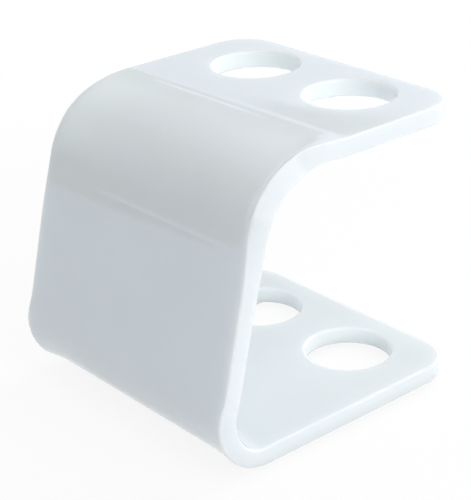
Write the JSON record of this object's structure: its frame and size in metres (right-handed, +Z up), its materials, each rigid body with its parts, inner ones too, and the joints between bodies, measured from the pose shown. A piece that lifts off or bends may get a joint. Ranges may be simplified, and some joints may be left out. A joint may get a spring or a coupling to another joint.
{
  "type": "toothbrush holder",
  "caption": "White acrylic sheet bent into a leaning C, open at its sides and rear, with coaxial holes in the top and base leaves that stand toothbrushes upright, on clear feet.",
  "frame": {"origin": "centre of the bounding box at its underside, on the surface that the feet stand on, under the middle of the holder", "axes": "+X runs across the width, along the bend lines; +Y points out of the open side, so the closed, leaning front panel faces -Y; +Z is up, along the brush holes"},
  "size_m": [0.084, 0.0832, 0.0808],
  "materials": {
    "sheet": "glossy white opal acrylic with polished edges",
    "foot": "clear soft polyurethane"
  },
  "bodies": {
    "root": {"bent_sheet": "sheet", "front_left_foot": "foot", "front_right_foot": "foot", "rear_left_foot": "foot", "rear_right_foot": "foot"}
  },
  "joints": []
}
